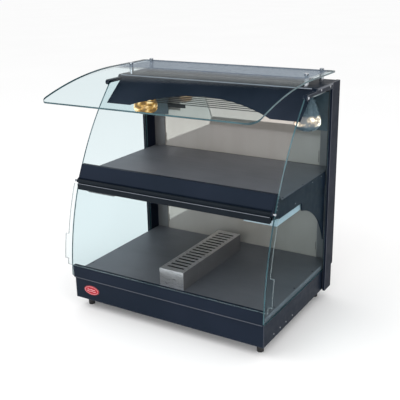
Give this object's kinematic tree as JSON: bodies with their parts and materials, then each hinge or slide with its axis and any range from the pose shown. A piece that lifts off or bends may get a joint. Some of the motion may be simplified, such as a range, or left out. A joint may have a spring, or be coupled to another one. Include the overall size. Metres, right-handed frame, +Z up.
{
  "type": "heated food display cabinet",
  "caption": "Countertop heated display cabinet: two heated decks behind curved side glass, flip-up front door, mirrored rear doors, lamp hood and curved glass canopy.",
  "frame": {"origin": "on the counter, under the middle of the overall width and depth", "axes": "+Z up, -Y towards the customer at the front, +X to the right as seen from the front"},
  "size_m": [0.854, 0.7, 0.8815],
  "materials": {
    "powder_coat": "satin black powder coat with a blue cast",
    "hard_coat_deck": "dark grey hard-anodised aluminium",
    "stainless": "brushed stainless steel",
    "grey_steel": "grey steel",
    "bright_metal": "bright plated metal",
    "black_extrusion": "black anodised aluminium",
    "clear_glass": "clear tempered glass with blue-green edges",
    "mirror": "silvered mirror glass",
    "rubber": "matte black rubber",
    "black_plastic": "matte black moulded plastic",
    "red_enamel": "glossy red",
    "heater_foil": "foil-faced heating mat",
    "lamp_glass": "frosted lamp glass, lit",
    "white_enamel": "white enamel"
  },
  "bodies": {
    "cabinet": {"base_tub": "powder_coat", "base_lip": "powder_coat", "post_left": "powder_coat", "post_right": "powder_coat", "shelf_apron": "powder_coat", "shelf_pan": "powder_coat", "shelf_arm_left": "powder_coat", "shelf_arm_right": "powder_coat", "hood_cover": "powder_coat", "hood_end_left": "powder_coat", "hood_end_right": "powder_coat", "rear_mid_rail": "powder_coat", "lower_deck": "hard_coat_deck", "shelf_deck": "hard_coat_deck", "reflector_pan": "stainless", "heater_guard": "stainless", "water_pan": "stainless", "control_panel": "grey_steel", "radiant_heater": "grey_steel", "jamb_left": "grey_steel", "jamb_right": "grey_steel", "front_door_rod": "bright_metal", "lower_door_rod": "bright_metal", "upper_door_rod": "bright_metal", "standoff_front_left": "bright_metal", "standoff_front_right": "bright_metal", "standoff_rear_left": "bright_metal", "standoff_rear_right": "bright_metal", "side_glass_left": "clear_glass", "side_glass_right": "clear_glass", "canopy_glass": "clear_glass", "foot_front_left": "rubber", "foot_front_right": "rubber", "foot_rear_left": "rubber", "foot_rear_right": "rubber", "thermostat_lower": "black_plastic", "thermostat_upper": "black_plastic", "cable_gland": "black_plastic", "badge": "red_enamel", "deck_heater": "heater_foil", "shelf_heater": "heater_foil", "shelf_lamp_left": "lamp_glass", "shelf_lamp_right": "lamp_glass", "hood_lamp_left": "lamp_glass", "hood_lamp_right": "lamp_glass", "lamp_shield_left": "white_enamel", "lamp_shield_right": "white_enamel"},
    "front_door": {"front_door_glass": "clear_glass", "front_door_rail": "black_extrusion"},
    "lower_rear_door": {"lower_door_mirror": "mirror", "lower_door_rail": "black_extrusion", "lower_door_handle": "black_extrusion"},
    "upper_rear_door": {"upper_door_mirror": "mirror", "upper_door_rail": "black_extrusion", "upper_door_handle": "black_extrusion"},
    "lower_knob": {"knob_lower": "black_plastic"},
    "upper_knob": {"knob_upper": "black_plastic"},
    "power_rocker": {"rocker_power": "black_plastic"},
    "lights_rocker": {"rocker_lights": "black_plastic"},
    "steam_cover": {"humidity_cover": "stainless"}
  },
  "joints": [
    {"name": "front_door_hinge", "type": "hinge", "parent": "cabinet", "child": "front_door", "pos_m": [0, -0.202, 0.487], "axis": [-1, 0, 0], "range_deg": [0, 90]},
    {"name": "lower_rear_door_hinge", "type": "hinge", "parent": "cabinet", "child": "lower_rear_door", "pos_m": [0, 0.3105, 0.477], "axis": [1, 0, 0], "range_deg": [0, 90]},
    {"name": "upper_rear_door_hinge", "type": "hinge", "parent": "cabinet", "child": "upper_rear_door", "pos_m": [0, 0.3105, 0.781], "axis": [1, 0, 0], "range_deg": [0, 90]},
    {"name": "lower_knob_turn", "type": "hinge", "parent": "cabinet", "child": "lower_knob", "pos_m": [0.035, 0.3063, 0.083], "axis": [0, -1, 0], "range_deg": [0, 270]},
    {"name": "upper_knob_turn", "type": "hinge", "parent": "cabinet", "child": "upper_knob", "pos_m": [0.115, 0.3063, 0.083], "axis": [0, -1, 0], "range_deg": [0, 270]},
    {"name": "power_rocker_tip", "type": "hinge", "parent": "cabinet", "child": "power_rocker", "pos_m": [-0.09, 0.3043, 0.083], "axis": [-1, 0, 0], "range_deg": [0, 16]},
    {"name": "lights_rocker_tip", "type": "hinge", "parent": "cabinet", "child": "lights_rocker", "pos_m": [-0.13, 0.3043, 0.083], "axis": [-1, 0, 0], "range_deg": [0, 16]},
    {"name": "steam_cover_lift", "type": "slide", "parent": "cabinet", "child": "steam_cover", "axis": [0, 0, 1], "range_m": [0, 0.15]}
  ]
}
